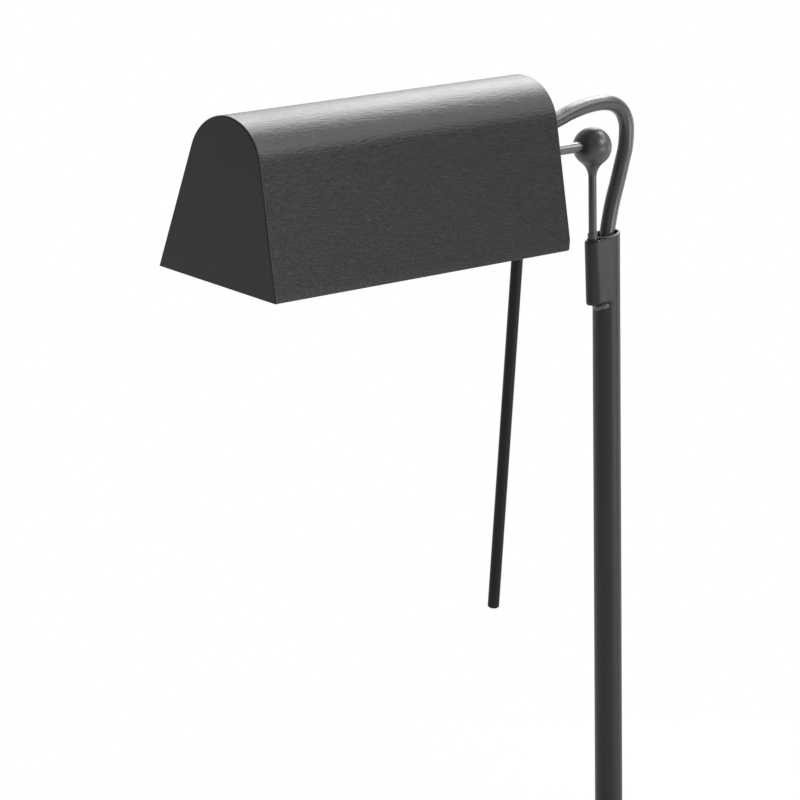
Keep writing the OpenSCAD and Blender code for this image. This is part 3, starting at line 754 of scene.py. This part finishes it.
# %% Section of the shade
SHADE_L = 170 * MM
SHADE_H = 68 * MM
SHADE_HALF_W = 32.7 * MM
CROWN_R = 20.4 * MM
CROWN_POINTS = 160
HEM_H = 4.5 * MM
PIN_RISE = 32.4 * MM
SHADE_GAP = 45.5 * MM
HAIR = 0.01 * MM
FREE_END = -SHADE_GAP - SHADE_L
CROWN_UP = SHADE_H - CROWN_R - PIN_RISE
FLARE = (math.atan2(HEM_H - (SHADE_H - CROWN_R), SHADE_HALF_W)
         + math.acos(CROWN_R / math.hypot(SHADE_HALF_W, SHADE_H - CROWN_R - HEM_H)))


def arch_line(name, x, grow=0.0, below=0.0):
    """The shade's section as an open line at x, left in edit mode: the crown's arc and the flared sides."""
    radius = CROWN_R + grow
    tangent_up = CROWN_UP + radius * math.sin(FLARE)
    drop = tangent_up + PIN_RISE
    bpy.ops.object.select_all(action="DESELECT")
    bpy.ops.mesh.primitive_circle_add(vertices=CROWN_POINTS, radius=radius, location=(x, 0, CROWN_UP),
                                      rotation=(0, math.pi / 2, 0))
    piece = started(name)
    bpy.ops.object.mode_set(mode="EDIT")
    slice_off((x, 0, tangent_up), (0, 0, 1), above=False)
    for side in (-1, 1):
        choose("VERT", lambda p: p.z < tangent_up + HAIR and p.y * side > 0)
        for down in (drop - HEM_H, HEM_H + below):
            pull(0, side * down * math.tan(FLARE), -down)
    return piece


print("flare", round(math.degrees(FLARE), 2), "degrees")

# %% Barrel
SHADE_WALL = 1.65 * MM
CORNER_R = 0.8 * MM
CORNER_STEPS = 8
EDGE_ROUND = 0.25 * MM
LID_FACE = 0.4 * MM
LID_IN = 0.015 * MM
UNDER_LID = 0.02 * MM

barrel = arch_line("shade_barrel_sheet", FREE_END + LID_FACE, -LID_IN - UNDER_LID)
bpy.ops.mesh.select_mode(type="EDGE")
bpy.ops.mesh.select_all(action="SELECT")
pull(SHADE_L - LID_FACE, 0, 0)
for side in (-1, 1):
    choose("VERT", lambda p: p.z < HAIR - PIN_RISE and p.x > -SHADE_GAP - HAIR and p.y * side > 0)
    bpy.ops.transform.translate(value=(0, -side * HEM_H * math.tan(FLARE), 0))
choose("VERT", lambda p: p.z < HAIR - PIN_RISE and p.x > -SHADE_GAP - HAIR)
bpy.ops.mesh.bevel(affect="VERTICES", offset=CORNER_R, offset_type="OFFSET", segments=CORNER_STEPS,
                   profile=0.5)
bpy.ops.mesh.select_all(action="SELECT")
bpy.ops.mesh.remove_doubles(threshold=0.1 * HAIR)
bpy.ops.mesh.normals_make_consistent(inside=False)
bpy.ops.object.mode_set(mode="OBJECT")
thicken(barrel, SHADE_WALL)
round_edges(barrel, EDGE_ROUND)
lean_head(barrel)
dress(barrel, brushed, "head", "shade_barrel")

# %% [markdown]
# ## Lid of the free end
# The free end is closed by a pressed lid with a rounded edge. Its short skirt reaches just over the end of
# the sheet, so that no seam shows, and four tabs hold it inside the flared sides. The same section line,
# drawn a little too long, is closed to a face and drawn out to the skirt's depth. Its front edge is
# rounded, and then the rim is cut straight. The tabs are boxes laid along the sides.

# %% Lid
LID_SKIRT = 0.75 * MM
LID_ROUND = 0.65 * MM
LID_ROUND_STEPS = 6
LID_SPARE = 3 * MM

lid = arch_line("free_end_lid", FREE_END, -LID_IN, LID_SPARE)
choose("VERT", lambda p: p.z < HAIR - PIN_RISE)
bpy.ops.mesh.edge_face_add()
bpy.ops.mesh.select_all(action="SELECT")
bpy.ops.mesh.edge_face_add()
pull(LID_SKIRT, 0, 0)
choose("EDGE", lambda p: p.x < FREE_END + HAIR)
bpy.ops.mesh.bevel(affect="EDGES", offset=LID_ROUND, segments=LID_ROUND_STEPS, profile=0.5)
slice_off((0, 0, -PIN_RISE), (0, 0, 1), above=False, fill=True)

# %% Tabs of the lid
TAB_L = 9 * MM
TAB_W = 12 * MM
TAB_T = 1 * MM
TAB_START = 1.5 * MM
TAB_ROWS = (12 * MM, 34 * MM)

wall_r = CROWN_R - SHADE_WALL - TAB_T / 2
tab_x = FREE_END + TAB_START + TAB_L / 2
for row in TAB_ROWS:
    for side in (-1, 1):
        rise = (row + TAB_W / 2 - PIN_RISE - CROWN_UP - wall_r * math.sin(FLARE)) / math.cos(FLARE)
        tab_y = wall_r * math.cos(FLARE) - rise * math.sin(FLARE)
        tab_z = CROWN_UP + wall_r * math.sin(FLARE) + rise * math.cos(FLARE)
        bpy.ops.mesh.primitive_cube_add(size=1, location=(tab_x, side * tab_y, tab_z),
                                        rotation=(side * FLARE, 0, 0), scale=(TAB_L, TAB_T, TAB_W))
bpy.ops.mesh.select_all(action="SELECT")
bpy.ops.mesh.normals_make_consistent(inside=False)
bpy.ops.object.mode_set(mode="OBJECT")
even_shading(lid)
lean_head(lid)
dress(lid, enamel, "head", "free_end_cap")

# %% [markdown]
# ## Stem
# The stem is a plain tube whose mouth is cut at a slant and rounded. An open cylinder is cut by the slanted
# plane and gets its wall. The painted highlight on the rim is a thin, lighter ring that lies along the
# mouth, because a change of finish on the tube itself would need an edge just there.

# %% Stem
STEM_R = 6 * MM
STEM_WALL = 1 * MM
STEM_FOOT = 20 * MM
MOUTH_Z = 331.7 * MM
MOUTH_ROUND = 0.42 * MM
MOUTH_SLANT = math.radians(11)
MOUTH_NORMAL = (-math.sin(MOUTH_SLANT), 0, math.cos(MOUTH_SLANT))
ABOVE_MOUTH = MOUTH_Z + STEM_R

stem = upright("stem_with_round_mouth", STEM_R, STEM_FOOT, ABOVE_MOUTH, ends="NOTHING")
bpy.ops.object.mode_set(mode="EDIT")
slice_off((0, 0, MOUTH_Z), MOUTH_NORMAL, above=True)
bpy.ops.object.mode_set(mode="OBJECT")
thicken(stem, STEM_WALL)
round_edges(stem, MOUTH_ROUND)
dress(stem, enamel, "stand", "stem_tube")

# %% Painted highlight on the stem's rim
RIM_R = 0.5 * MM
RIM_IN = 0.5 * MM
RIM_DROP = 0.2 * MM
RIM_STEP = 5

rim_line = []
for degrees in range(0, 360, RIM_STEP):
    x, y = ((STEM_R - RIM_IN) * f(math.radians(degrees)) for f in (math.cos, math.sin))
    rim_line.append(Vector((x, y, MOUTH_Z - RIM_DROP + x * math.tan(MOUTH_SLANT))))
rim = round_tube("painted_highlight_mouth_rim", rim_line, RIM_R, ring=True)
dress(rim, rim_highlight_finish, "stand")

# %% [markdown]
# ## Socket
# The socket for the spindle is a small barrel, brazed to the stem by a web. A brazed joint has no sharp
# inner corners, because the metal flows into them. So the web is a hull round the barrel, a middle and the
# stem's side, cut to its slanted ends. Web and barrel are joined, wrapped in one fine skin and smoothed.
# The bores are cut last, so that they stay crisp, and the slivers that the cuts leave are dissolved.

# %% Web of the socket
BARREL_R = 3 * MM
BARREL_WIDEN = 0.019
BARREL_FOOT = 301.5 * MM
BARREL_TOP = 329.8 * MM
WEB_X = -6 * MM
WEB_R = 4.3 * MM
WEB_FOOT = 302.3 * MM
WEB_FOOT_NORMAL = (-0.08, 0, 1)
WEB_DROP = 0.15 * MM
WEB_SINK = 0.015 * MM
WEB_END = 1.5 * MM
BELOW_SOCKET = BARREL_FOOT - STEM_R


def barrel_length(name, low, high):
    """A length of the socket's barrel, which widens a little on its way up."""
    low_r = BARREL_R + BARREL_WIDEN * (low - BARREL_FOOT)
    return upright(name, low_r, low, high, BALL.x, widen=BARREL_WIDEN)


socket = barrel_length("brazed_socket", BELOW_SOCKET, ABOVE_MOUTH)
join(socket, [upright("web_middle", WEB_R, BELOW_SOCKET, ABOVE_MOUTH, WEB_X),
              upright("stem_side", STEM_R - WEB_SINK, BELOW_SOCKET, ABOVE_MOUTH)])
bpy.ops.object.mode_set(mode="EDIT")
bpy.ops.mesh.select_all(action="SELECT")
bpy.ops.mesh.convex_hull()
slice_off((0, 0, MOUTH_Z - WEB_DROP), MOUTH_NORMAL, above=True, fill=True)
slice_off((BALL.x, 0, WEB_FOOT), WEB_FOOT_NORMAL, above=False, fill=True)
slice_off((WEB_END, 0, 0), (1, 0, 0), above=True, fill=True)
bpy.ops.object.mode_set(mode="OBJECT")
cut(socket, barrel_length("room_over_barrel", BARREL_TOP, ABOVE_MOUTH))
print("web", len(socket.data.polygons), "faces")

# %% Barrel of the socket, skin and bores
BARREL_ENDS = ((BARREL_FOOT, 1.0 * MM), (BARREL_TOP, 0.9 * MM))
BARREL_END_STEPS = 3
SKIN = 0.2 * MM
FLOW = 0.5
FLOW_ROUNDS = 45
BORE_R = 2.15 * MM
CLIP_ROOM_R = 2.55 * MM
CLIP_ROOM = 3.4 * MM
SLIVER = 0.005 * MM

socket_barrel = barrel_length("socket_barrel", BARREL_FOOT, BARREL_TOP)
bpy.ops.object.mode_set(mode="EDIT")
for height, chamfer in BARREL_ENDS:
    choose("EDGE", lambda p: abs(p.z - height) < HAIR)
    bpy.ops.mesh.bevel(affect="EDGES", offset=chamfer, segments=BARREL_END_STEPS, profile=0.5)
bpy.ops.object.mode_set(mode="OBJECT")

join(socket, [socket_barrel])
skin = socket.modifiers.new("one_skin", "REMESH")
skin.mode = "VOXEL"
skin.voxel_size = SKIN
flow = socket.modifiers.new("flow", "SMOOTH")
flow.factor = FLOW
flow.iterations = FLOW_ROUNDS
apply_all(socket)
cut(socket, upright("stem_room", STEM_R - STEM_WALL / 2, BELOW_SOCKET, ABOVE_MOUTH))
cut(socket, upright("spindle_bore", BORE_R, BELOW_SOCKET, ABOVE_MOUTH, BALL.x))
cut(socket, upright("clip_room", CLIP_ROOM_R, BELOW_SOCKET, BARREL_FOOT + CLIP_ROOM, BALL.x))
bpy.ops.object.mode_set(mode="EDIT")
bpy.ops.mesh.select_all(action="SELECT")
bpy.ops.mesh.quads_convert_to_tris(quad_method="BEAUTY", ngon_method="BEAUTY")
bpy.ops.mesh.dissolve_degenerate(threshold=SLIVER)
bpy.ops.object.mode_set(mode="OBJECT")
bpy.ops.object.shade_smooth_by_angle(angle=SMOOTH_ANGLE)
dress(socket, enamel, "stand", "swivel_socket")

# %% [markdown]
# ## Bead of braze
# Some of the braze ran out under the web and set as a bead round the barrel's side of the stem. It is a
# short tube along an arc, half sunk in the stem, that rises to both sides, swells and narrows like a run of
# metal, and dips into the stem at its ends. Its finish is a lighter grey than the paint round it, as a
# painted highlight.

# %% Bead of braze
BEAD_R = 1.8 * MM
BEAD_MIDDLE = 180
BEAD_SPREAD = 75
BEAD_STEP = 2
BEAD_SINK = 1.2 * MM
BEAD_DIP = 4
BEAD_Z = 300.1 * MM
BEAD_LIFT = 1.2 * MM
BEAD_BEND = 26
BEAD_LUMP = 36
BEAD_NECK = 0.15

bead_line = []
bead_swell = []
for degrees in range(BEAD_MIDDLE - BEAD_SPREAD, BEAD_MIDDLE + BEAD_SPREAD + 1, BEAD_STEP):
    aside = abs(degrees - BEAD_MIDDLE)
    reach = STEM_R - BEAD_SINK - BEAD_R * (aside / BEAD_SPREAD) ** BEAD_DIP
    lift = BEAD_LIFT * (1 - math.exp(-(aside / BEAD_BEND) ** 2))
    x, y = (reach * f(math.radians(degrees)) for f in (math.cos, math.sin))
    bead_line.append(Vector((x, y, BEAD_Z + lift)))
    bead_swell.append(1 - BEAD_NECK * math.sin(math.pi * aside / BEAD_LUMP) ** 2)
bead = round_tube("braze_bead", bead_line, BEAD_R, swell=bead_swell)
dress(bead, braze, "stand")

# %% [markdown]
# ## Sleeve of the pin
# A burnished sleeve on the tilt pin keeps the handle rod off the ball. Its bore sits low, so that it stands
# a little higher above the pin than below it. The pin fills it, so a solid round bar is enough. Its one end
# is in the ball, its other end is drawn in where it meets the rod, and its edges are rounded.

# %% Sleeve of the pin
SLEEVE_R = 2.25 * MM
SLEEVE_POINTS = 64
SLEEVE_RISE = 0.7 * MM
SLEEVE_END = -7.5 * MM
SLEEVE_NECK = 0.6 * MM
SLEEVE_ROUND = 0.2 * MM

sleeve_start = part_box("handle_rod")[1][0]
sleeve_end = BALL.x + SLEEVE_END
bpy.ops.object.select_all(action="DESELECT")
bpy.ops.mesh.primitive_cylinder_add(vertices=SLEEVE_POINTS, radius=SLEEVE_R, depth=sleeve_end - sleeve_start,
                                    location=((sleeve_start + sleeve_end) / 2, 0, BALL.z + SLEEVE_RISE),
                                    rotation=(0, math.pi / 2, 0))
sleeve = started("pin_sleeve")
bpy.ops.object.mode_set(mode="EDIT")
choose("FACE", lambda p: p.x < sleeve_start + HAIR)
bpy.ops.mesh.inset(thickness=SLEEVE_NECK, depth=0)
pull(-SLEEVE_NECK, 0, 0)
bpy.ops.object.mode_set(mode="OBJECT")
round_edges(sleeve, SLEEVE_ROUND)
dress(sleeve, burnished, "head")

# %% [markdown]
# ## Felt
# The felt under the base is a pressed disc, cut with a soft edge. It lies flat under the weight of the
# lamp, so it needs no swelling, only the rounded rim.

# %% Felt
PAD_R = 83.7 * MM
PAD_T = 2 * MM
PAD_ROUND = 0.6 * MM

pad = upright("felt_pad", PAD_R, 0, PAD_T)
round_edges(pad, PAD_ROUND)
dress(pad, felt, "stand", "base_pad")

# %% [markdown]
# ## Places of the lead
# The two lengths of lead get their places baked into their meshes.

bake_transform(lower_lead)
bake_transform(upper_lead)
